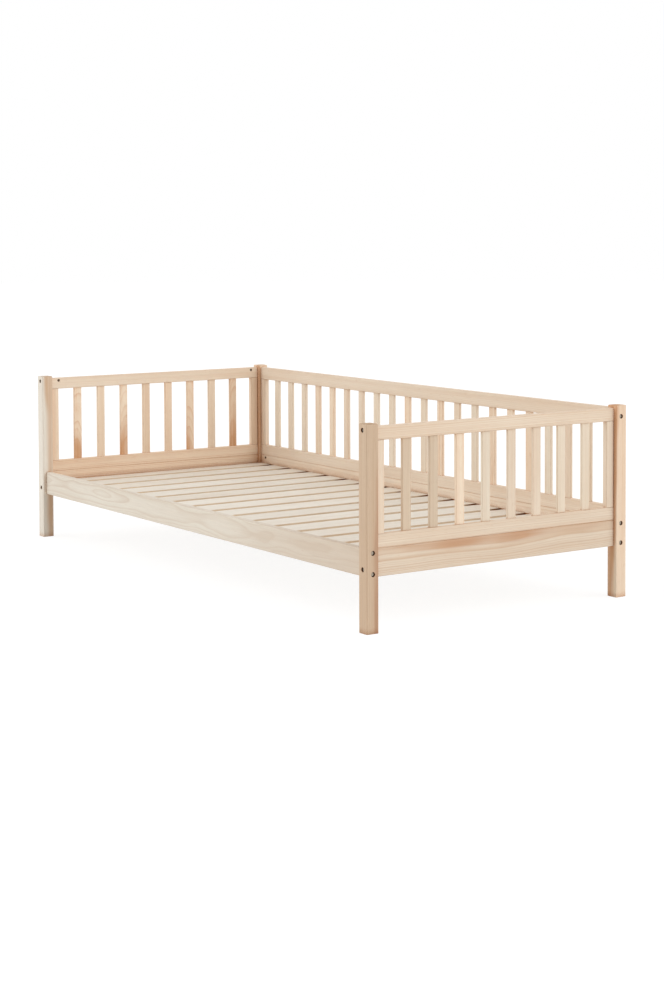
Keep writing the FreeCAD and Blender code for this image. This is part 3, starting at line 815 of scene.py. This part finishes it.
for number in SPINDLES:
    cut = rift_sawn()
    heart = 0.0
    if number in HEARTY_SPINDLES:
        cut, heart = heart_below(HEARTY_SPINDLES[number])
    dress(f"head_spindle_{number}", timber("peach", cut, heart=heart))
    shade = "sand" if number in GREYER_SPINDLES else draw.choice(("shell", "cream", "peach"))
    dress(f"foot_spindle_{number}", timber(shade, rift_sawn()))
print("end spindles dressed:", 2 * len(SPINDLES))

# %% Dress the rails, boards and stiles of the two ends
FLAME_LEVEL = {"head": -25 * MM, "foot": 28 * MM}
FLAME_REACH = {"head": 35 * MM, "foot": 34 * MM}
FLAME_BEHIND = -50 * MM
FLAME_LEAN = -0.010
for end, shade, spread in (("head", "peach", 0.0), ("foot", "shell", 0.05)):
    dress(f"{end}_top_rail", timber("shell", swap_faces(rift_sawn()), figure=0.8, spread=spread))
    dress(f"{end}_bottom_rail", timber(shade, swap_faces(rift_sawn()), figure=0.85, spread=spread))
    cut = swap_faces(flat_sawn(wander=30 * MM, bends=2.0))
    cut["Pith"] = (0.0, FLAME_BEHIND, FLAME_LEVEL[end])
    cut["Lean"] = (0.0, FLAME_LEAN, 0.0)
    board = timber(shade, cut, ring=5.0 * MM, figure=0.8, heart=FLAME_REACH[end], spread=spread)
    dress(f"{end}_board", board)
    for side in ("front", "back"):
        dress(f"{end}_{side}_stile", timber(shade, rift_sawn(), figure=0.4))
print("ends dressed:", len(FLAME_LEVEL))

# %% [markdown]
# ## The back, the front and the slats
#
# The long front board is the calmest piece and the first one seen, so it is dressed with care: wide
# rings, a pith that wanders enough to close some arches, and a painted shade that slowly darkens it
# to a greyer tone at the foot end. The slats are cut from pale sapwood, flat sawn, with hardly any
# figure.

# %% Dress the back and the front
for name in ("back_top_rail", "back_bottom_rail"):
    dress(name, timber("shell", swap_faces(rift_sawn())))
for end in ("head", "foot"):
    dress(f"back_{end}_stile", timber("shell", rift_sawn()))
dress("back_board", timber("shell", swap_faces(flat_sawn()), ring=5.0 * MM))
front_cut = swap_faces(flat_sawn(wander=45 * MM, bends=2.8))
front_timber = timber("oat", front_cut, ring=7.5 * MM, spread=0.0)
# Painted shade, slowly darker towards the foot end.
front_timber["Fade"] = 0.6
dress("front_board", front_timber)
print("front board's rings are about", round(1000 * front_timber["Ring_Width"], 1), "mm wide")

# %% Dress the ledges and the slats
for name in ("front_ledge", "back_ledge"):
    dress(name, timber("shell", rift_sawn()))
slat_names = sorted(name for name in nodes if name.startswith("slat_"))
for name in slat_names:
    dress(name, timber("milk", flat_sawn(), figure=0.45, spread=0.025))
print("slats dressed:", len(slat_names))

# %% [markdown]
# ## Finding the single solids in a node of many
#
# Like pieces share one node in the frame: twenty back spindles, eighteen bolts, eighteen nuts. Their
# places are read back from that node's mesh, so nothing here repeats a measurement. The mesh is loose
# triangles, so a copy is merged first, and then each connected island is one solid.

# %% Islands of a node


def islands(name):
    """The lowest and highest corner of each connected solid in a node."""
    copy = bmesh.new()
    copy.from_mesh(nodes[name].data)
    bmesh.ops.remove_doubles(copy, verts=copy.verts, dist=0.01 * MM)
    waiting = set(copy.verts)
    boxes = []
    while waiting:
        to_follow = [waiting.pop()]
        found = []
        while to_follow:
            vert = to_follow.pop()
            found.append(vert.co.copy())
            for edge in vert.link_edges:
                other = edge.other_vert(vert)
                if other in waiting:
                    waiting.remove(other)
                    to_follow.append(other)
        low = Vector([min(p[i] for p in found) for i in range(3)])
        high = Vector([max(p[i] for p in found) for i in range(3)])
        boxes.append((low, high))
    copy.free()
    return sorted(boxes, key=lambda b: (round(b[0].x, 4), round(b[0].y, 4), round(b[0].z, 4)))


spindle_boxes = islands("back_spindles")
bolt_boxes = islands("connector_bolts")
nut_boxes = islands("barrel_nuts")
dowel_boxes = islands("dowels")
print("solids found:", len(spindle_boxes), len(bolt_boxes), len(nut_boxes), len(dowel_boxes))

# %% [markdown]
# ## Back spindles
#
# The spindles are flat slats planed from 9 mm stock with softly rounded long edges. A cube stretched
# to size would have knife edges, so its long edges get a real bevel with a round profile, in three
# steps, which is enough to catch a line of light. Each spindle is a piece of its own here, cut from
# its own bit of tree.

# %% Helpers for new pieces


def finish_piece(name, work, material):
    """Turn a bmesh into a named object that rides on the bed."""
    mesh = bpy.data.meshes.new(name)
    work.to_mesh(mesh)
    work.free()
    mesh.materials.append(material)
    piece = bpy.data.objects.new(name, mesh)
    scene.collection.objects.link(piece)
    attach(piece, "root")
    return piece


def block(low, high):
    """A bmesh box between two corners."""
    work = bmesh.new()
    bmesh.ops.create_cube(work, size=1.0)
    bmesh.ops.scale(work, verts=work.verts, vec=high - low)
    bmesh.ops.translate(work, verts=work.verts, vec=(low + high) / 2)
    return work


def round_upright_edges(work, radius):
    """Round the edges that run straight up."""
    upright_edges = []
    for edge in work.edges:
        run = edge.verts[1].co - edge.verts[0].co
        if abs(run.z) > 0.9 * run.length:
            upright_edges.append(edge)
    bmesh.ops.bevel(
        work, geom=upright_edges, offset=radius, offset_type="OFFSET",
        affect="EDGES", segments=3, profile=0.5, material=-1,
    )


first_low, first_high = spindle_boxes[0]
print("one spindle is", [round(1000 * side, 1) for side in first_high - first_low], "mm")

# %% Model the back spindles
SPINDLE_ROUND = 1.2 * MM
for number, (low, high) in enumerate(spindle_boxes, start=1):
    shade = draw.choice(("shell", "cream", "peach"))
    wood = pine_material(f"back spindle {number} pine", low, high, "z", timber(shade, rift_sawn()))
    spindle = block(low, high)
    round_upright_edges(spindle, SPINDLE_ROUND)
    piece = finish_piece(f"back_spindle_{number:02d}", spindle, wood)
    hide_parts("back_spindles")
print("back spindles modelled:", len(spindle_boxes))

# %% [markdown]
# ## Zinc plate and dark steel
#
# Small steel parts come plated or oiled. Either is never mirror smooth: it has slow cloudy changes
# from the bath and fine scratches from the tumbling drum, and the clouds change the roughness as much
# as the colour, because that is how plating is seen. The two metals share one group and differ only
# in their pair of colours: a zinc grown a little brown in its wooden hole for the bolts, and an
# almost black steel for the nuts, whose ends look like dark dots in the rails.

# %% The plated metal group
METAL_INPUTS = [
    ("Vector", "Vector", None),
    ("Dull", "Color", card(150, 138, 122)),
    ("Bright", "Color", card(190, 180, 164)),
]
BATH_CLOUDS = (420.0, 420.0, 420.0)
DRUM_SCRATCHES = (2600.0, 900.0, 5200.0)


def make_plated_metal():
    tree, given, made = shader_group("plated metal", METAL_INPUTS, SURFACE_OUTPUTS)
    cloud, _ = noise(tree, given["Vector"], BATH_CLOUDS, detail=4.0, roughness=0.6)
    scratch, _ = noise(tree, given["Vector"], DRUM_SCRATCHES, detail=2.0)
    shade = ease(tree, cloud, 0.35, 0.68)
    feed(tree, made["Color"], tint(tree, shade, given["Dull"], given["Bright"]))
    rough = ease(tree, cloud, 0.3, 0.7, 0.30, 0.48)
    feed(tree, made["Roughness"], maths(tree, "MULTIPLY_ADD", scratch, 0.12, rough))
    feed(tree, made["Height"], scratch)
    return tree


plated_metal = make_plated_metal()
print("plated metal:", len(plated_metal.nodes), "nodes")

# %% The two metals
SCRATCH_BUMP = 0.15
SCRATCH_DEPTH = 0.03 * MM


def metal_material(name, dull, bright):
    """A metal that changes between its dull and its bright colour."""
    material, tree, shader = new_material(name)
    plating = group_node(tree, plated_metal, Vector=object_place(tree), Dull=dull, Bright=bright)
    feed(tree, shader.inputs["Base Color"], plating.outputs["Color"])
    feed(tree, shader.inputs["Roughness"], plating.outputs["Roughness"])
    add_relief(tree, shader, plating.outputs["Height"], SCRATCH_BUMP, SCRATCH_DEPTH)
    shader.inputs["Metallic"].default_value = 1.0
    return material


zinc = metal_material("zinc plate", card(150, 138, 122), card(190, 180, 164))
dark_steel = metal_material("oiled dark steel", card(82, 66, 52), card(116, 96, 78))
print("metals:", zinc.name, "and", dark_steel.name)

# %% [markdown]
# ## Turning on the lathe
#
# Bolts and barrel nuts are turned parts, so one helper builds both: a circle is filled, then its rim
# is extruded from step to step of a profile, and the last rim is closed. With six sides the same
# helper makes a hexagon. The parts are built upright at the middle and then laid along their axis.

# %% Helpers for turned parts


def ring_up(work, ring, radius, height):
    """Extrude a ring of edges to a new radius and height."""
    made = bmesh.ops.extrude_edge_only(work, edges=ring)["geom"]
    verts = {g for g in made if isinstance(g, bmesh.types.BMVert)}
    edges = [g for g in made if isinstance(g, bmesh.types.BMEdge)]
    for vert in verts:
        flat = Vector((vert.co.x, vert.co.y, 0)).normalized() * radius
        vert.co = (flat.x, flat.y, height)
    return [e for e in edges if e.verts[0] in verts and e.verts[1] in verts]


def turned(profile, sides):
    """A solid of the given sides from (radius, height) steps, closed at both ends."""
    work = bmesh.new()
    start_radius, start_height = profile[0]
    bmesh.ops.create_circle(work, cap_ends=True, segments=sides, radius=start_radius)
    bmesh.ops.translate(work, verts=work.verts, vec=(0, 0, start_height))
    ring = work.edges[:]
    for radius, height in profile[1:]:
        ring = ring_up(work, ring, radius, height)
    bmesh.ops.holes_fill(work, edges=ring, sides=sides)
    bmesh.ops.recalc_face_normals(work, faces=work.faces)
    return work


def join_into(work, other):
    """Add another bmesh's solids to this one."""
    spare = bpy.data.meshes.new("spare")
    other.to_mesh(spare)
    other.free()
    work.from_mesh(spare)
    bpy.data.meshes.remove(spare)


def lie_of(low, high):
    """A long solid's middle, length, axis, and the side of the bed that it is on, 1 or -1."""
    middle = (low + high) / 2
    size = high - low
    axis = max(range(3), key=lambda i: size[i])
    return middle, size[axis], axis, 1 if middle[axis] > 0 else -1


def lay_down(work, low, high, axis, facing):
    """Point a part built along +Z along the axis, with its top at the end that it faces."""
    direction = Vector((0, 0, 0))
    direction[axis] = facing
    turn = Vector((0, 0, 1)).rotation_difference(direction).to_matrix()
    top = (low + high) / 2
    top[axis] = high[axis] if facing > 0 else low[axis]
    bmesh.ops.rotate(work, verts=work.verts, cent=(0, 0, 0), matrix=turn)
    bmesh.ops.translate(work, verts=work.verts, vec=top)


print("the first bolt is", round(lie_of(*bolt_boxes[0])[1], 4), "m long")

# %% [markdown]
# ## Connector bolts
#
# In each post the bolt heads sit at the bottom of a counterbore. They have a six-sided head with its
# corners taken off by a cone, as a nut spanner wants, a thin round collar under it, and a plain shank.
# The head's crown is a rim with a shallow middle, because a flat hexagon looks stamped from card.
# The three forms overlap by a tenth of a millimetre, so that no gap opens between them.

# %% Model the bolts
HEAD_FLAT = 5 * MM
HEAD_CORNER = HEAD_FLAT / math.cos(math.pi / 6)
HEAD_HEIGHT = 4 * MM
CONE_HEIGHT = 0.55 * MM
RIM_OUTSIDE = HEAD_FLAT * 0.93
RIM_INSIDE = HEAD_FLAT * 0.78
DISH_RADIUS = HEAD_FLAT * 0.62
DISH_DEPTH = 0.35 * MM
COLLAR_RADIUS = HEAD_FLAT * 0.98
COLLAR_HEIGHT = 0.6 * MM
SHANK_RADIUS = 3 * MM
POINT_INSET = 0.7 * MM
POINT_HEIGHT = 0.9 * MM
OVERLAP = 0.1 * MM


def make_bolt(length):
    """A bolt along +Z with the top of its head at 0 and its shank below."""
    head = turned([
        (HEAD_CORNER, -HEAD_HEIGHT + COLLAR_HEIGHT - OVERLAP),
        (HEAD_CORNER, -CONE_HEIGHT),
        (RIM_OUTSIDE, 0.0),
        (RIM_INSIDE, 0.0),
        (DISH_RADIUS, -DISH_DEPTH),
    ], 6)
    collar = turned([
        (COLLAR_RADIUS, -HEAD_HEIGHT),
        (COLLAR_RADIUS, -HEAD_HEIGHT + COLLAR_HEIGHT),
    ], 24)
    shank = turned([
        (SHANK_RADIUS - POINT_INSET, -length),
        (SHANK_RADIUS, -length + POINT_HEIGHT),
        (SHANK_RADIUS, -HEAD_HEIGHT + OVERLAP),
    ], 16)
    join_into(head, collar)
    join_into(head, shank)
    return head


for number, (low, high) in enumerate(bolt_boxes, start=1):
    _, length, axis, outward = lie_of(low, high)
    bolt = make_bolt(length)
    lay_down(bolt, low, high, axis, outward)
    piece = finish_piece(f"connector_bolt_{number:02d}", bolt, zinc)
    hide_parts("connector_bolts")
print("bolts modelled:", len(bolt_boxes), "length of the last", round(length, 4))

# %% [markdown]
# ## Barrel nuts
#
# Each bolt pulls on a steel barrel that lies across its path in the rail. All that shows is its end,
# a small disc with a slot, just below the surface, which a screwdriver turns until the thread faces
# the bolt. It faces into the bed, where nobody passes, except in the rail along the back, which a
# child leans on. The slot is cut by pushing the middle of the end down between two straight walls.

# %% Model the barrel nuts
NUT_SIDES = 32
NUT_CHAMFER = 0.5 * MM
SLOT_WIDTH = 1.6 * MM
SLOT_DEPTH = 1.5 * MM


def make_barrel(radius, length):
    """A barrel along +Z with its slotted end at 0."""
    barrel = turned([
        (radius - NUT_CHAMFER, -length),
        (radius, -length + NUT_CHAMFER),
        (radius, -NUT_CHAMFER),
        (radius - NUT_CHAMFER, 0.0),
    ], NUT_SIDES)
    for side in (-1, 1):
        everything = barrel.verts[:] + barrel.edges[:] + barrel.faces[:]
        bmesh.ops.bisect_plane(
            barrel, geom=everything, plane_co=(side * SLOT_WIDTH / 2, 0, 0), plane_no=(1, 0, 0),
        )
    slot = [
        face for face in barrel.faces
        if face.normal.z > 0.9 and abs(face.calc_center_median().x) < SLOT_WIDTH / 2
    ]
    made = bmesh.ops.extrude_face_region(barrel, geom=slot)["geom"]
    sunk = [g for g in made if isinstance(g, bmesh.types.BMVert)]
    bmesh.ops.translate(barrel, verts=sunk, vec=(0, 0, -SLOT_DEPTH))
    bmesh.ops.delete(barrel, geom=slot, context="FACES")
    bmesh.ops.recalc_face_normals(barrel, faces=barrel.faces)
    return barrel


def lies_in(name, point):
    """Whether a point is inside a node's box."""
    low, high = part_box(name)
    return all(low[i] < point[i] < high[i] for i in range(3))


for number, (low, high) in enumerate(nut_boxes, start=1):
    middle, length, axis, outward = lie_of(low, high)
    facing = outward if lies_in("back_top_rail", middle) else -outward
    nut = make_barrel(min(high - low) / 2, length)
    lay_down(nut, low, high, axis, facing)
    piece = finish_piece(f"barrel_nut_{number:02d}", nut, dark_steel)
    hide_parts("barrel_nuts")
print("nuts modelled:", len(nut_boxes), "length of the last", round(length, 4))

# %% [markdown]
# ## Dowels
#
# The dowels are beech, a dense wood without visible rings, flecked with short darker rays. They sit
# inside the joints, and are dressed for whoever takes the bed apart.

# %% Beech for the dowels
RAY_FLECKS = (900.0, 900.0, 220.0)
BEECH_GRAIN = (500.0, 500.0, 60.0)
BEECH_BUMP = 0.2
BEECH_DEPTH = 0.1 * MM


def make_beech():
    """Beech whose fibres run upright, as the dowels stand."""
    material, tree, shader = new_material("beech")
    place = object_place(tree)
    fleck, _ = noise(tree, place, RAY_FLECKS, detail=1.0)
    grain, _ = noise(tree, place, BEECH_GRAIN, detail=3.0)
    colour = tint(tree, ease(tree, grain, 0.3, 0.7), card(222, 184, 144), card(204, 160, 120))
    colour = tint(tree, ease(tree, fleck, 0.62, 0.72, 0.0, 0.5), colour, card(164, 112, 76))
    feed(tree, shader.inputs["Base Color"], colour)
    feed(tree, shader.inputs["Roughness"], ease(tree, grain, 0.2, 0.8, 0.48, 0.62))
    add_relief(tree, shader, grain, BEECH_BUMP, BEECH_DEPTH)
    return material


nodes["dowels"].data.materials.clear()
nodes["dowels"].data.materials.append(make_beech())
print("dowels dressed:", len(dowel_boxes))

# %% [markdown]
# ## The camera
#
# The photograph was matched by measuring straight edges of the bed in it: the camera stood about
# 6.5 m away and 1.15 m above the floor, looked almost level, and the picture was shifted down, as
# a studio does to keep upright posts upright. The lens and the shift are worked out from distances
# in the picture, which is 664 by 1000 pixels. The angles are in radians.

# %% Set the camera
PICTURE_HEIGHT = 1000
FOCAL_PIXELS = 1928.566
LEVEL_LINE = 308.83
CAMERA_PLACE = Vector((5.3922, -3.5504, 1.1507))
YAW = 0.9744
PITCH = 0.0454
ROLL = -0.0035
SENSOR = 24.0


def camera_axes():
    """The camera's right, up and forward directions from its three angles."""
    forward = Vector((
        -math.sin(YAW) * math.cos(PITCH), math.cos(YAW) * math.cos(PITCH), -math.sin(PITCH),
    ))
    level = Vector((math.cos(YAW), math.sin(YAW), 0))
    upright = level.cross(forward)
    right = math.cos(ROLL) * level + math.sin(ROLL) * upright
    up = math.cos(ROLL) * upright - math.sin(ROLL) * level
    return right, up, forward


right, up, forward = camera_axes()
lens = bpy.data.cameras.new("studio camera")
lens.sensor_fit = "VERTICAL"
lens.sensor_height = SENSOR
lens.lens = FOCAL_PIXELS * SENSOR / PICTURE_HEIGHT
lens.shift_y = (LEVEL_LINE - PICTURE_HEIGHT / 2) / PICTURE_HEIGHT
camera = bpy.data.objects.new("studio camera", lens)
turn = Matrix((right, up, -forward)).transposed().to_4x4()
camera.matrix_world = Matrix.Translation(CAMERA_PLACE) @ turn
scene.collection.objects.link(camera)
scene.camera = camera
print("lens", round(lens.lens, 2), "mm, shift", round(lens.shift_y, 3))

# %% [markdown]
# ## The floor
#
# The bed was photographed on white, so the floor is a large pale disc that gives back most of the
# light. Where an eye sees it, it is partly white of its own, which leaves a faint shadow under the bed
# and no visible horizon. A Light Path node tells an eye's ray from light that bounces. The disc lies a
# hair below the posts' feet, so that the two surfaces don't fight for the same place.

# %% Make the floor
FLOOR_REACH = 30.0
FLOOR_SIDES = 96
FLOOR_DROP = 0.2 * MM
FLOOR_BOUNCE = (0.93, 0.91, 0.87, 1)
SHADOW_SHARE = 0.24
OWN_WHITE = 1.08 - SHADOW_SHARE


def seen_by_eye(tree):
    """1 for rays that the camera, a gloss or a glass sends, and 0 for light that bounces."""
    path = tree.nodes.new("ShaderNodeLightPath")
    seen = maths(tree, "MAXIMUM", path.outputs["Is Camera Ray"], path.outputs["Is Glossy Ray"])
    return maths(tree, "MAXIMUM", seen, path.outputs["Is Transmission Ray"])


def floor_material():
    material, tree, shader = new_material("white floor")
    seen = seen_by_eye(tree)
    pale = tint(tree, seen, FLOOR_BOUNCE, (SHADOW_SHARE, SHADOW_SHARE, SHADOW_SHARE, 1))
    feed(tree, shader.inputs["Base Color"], pale)
    feed(tree, shader.inputs["Emission Strength"], maths(tree, "MULTIPLY", seen, OWN_WHITE))
    shader.inputs["Emission Color"].default_value = (1, 1, 1, 1)
    shader.inputs["Specular IOR Level"].default_value = 0.0
    shader.inputs["Roughness"].default_value = 1.0
    return material


def make_floor():
    work = bmesh.new()
    bmesh.ops.create_circle(work, cap_ends=True, segments=FLOOR_SIDES, radius=FLOOR_REACH)
    bmesh.ops.translate(work, verts=work.verts, vec=(0, 0, -FLOOR_DROP))
    mesh = bpy.data.meshes.new("studio_floor")
    work.to_mesh(mesh)
    work.free()
    mesh.materials.append(floor_material())
    floor = bpy.data.objects.new("studio_floor", mesh)
    scene.collection.objects.link(floor)


make_floor()
print("floor reaches", FLOOR_REACH, "m")

# %% [markdown]
# ## The light
#
# A product studio lights from both sides. Two very wide, soft suns stand for its lit walls, left and
# right of the camera, and a white sky fills the rest. The sky is stronger from the picture's sides
# than along the line of sight, so that a post's two visible faces come out nearly alike. It is plain
# white where the camera sees it.

# %% Make the sky and the two suns
SKY_LEVEL = 0.49
SKY_SIDE_GAIN = 0.37
WALL_SPREAD = 60


def make_sky():
    """A white sky, stronger from the two sides of the picture than along the line of sight."""
    world = bpy.data.worlds.new("white studio")
    world.use_nodes = True
    tree = world.node_tree
    background = tree.nodes["Background"]
    background.inputs["Color"].default_value = (1, 1, 1, 1)
    across = tree.nodes.new("ShaderNodeVectorMath")
    across.operation = "DOT_PRODUCT"
    feed(tree, across.inputs[0], tree.nodes.new("ShaderNodeTexCoord").outputs["Generated"])
    feed(tree, across.inputs[1], tuple(right))
    sideways = maths(tree, "POWER", maths(tree, "ABSOLUTE", across.outputs["Value"]), 2.0)
    strength = maths(tree, "MULTIPLY_ADD", sideways, SKY_SIDE_GAIN, SKY_LEVEL)
    feed(tree, background.inputs["Strength"], maths(tree, "MAXIMUM", strength, seen_by_eye(tree)))
    scene.world = world


def make_sun(name, towards, strength):
    """A sun as wide as a lit wall, shining towards a direction."""
    lamp = bpy.data.lights.new(name, "SUN")
    lamp.energy = strength
    lamp.angle = math.radians(WALL_SPREAD)
    sun = bpy.data.objects.new(name, lamp)
    sun.matrix_world = Vector(towards).to_track_quat("-Z", "Y").to_matrix().to_4x4()
    scene.collection.objects.link(sun)


make_sky()
make_sun("left window wall", towards=(0.45, 0.75, -0.60), strength=1.06)
make_sun("right window wall", towards=(-0.75, -0.55, -0.60), strength=1.20)
print("sky from", SKY_LEVEL, "to", round(SKY_LEVEL + SKY_SIDE_GAIN, 2), "and two suns")
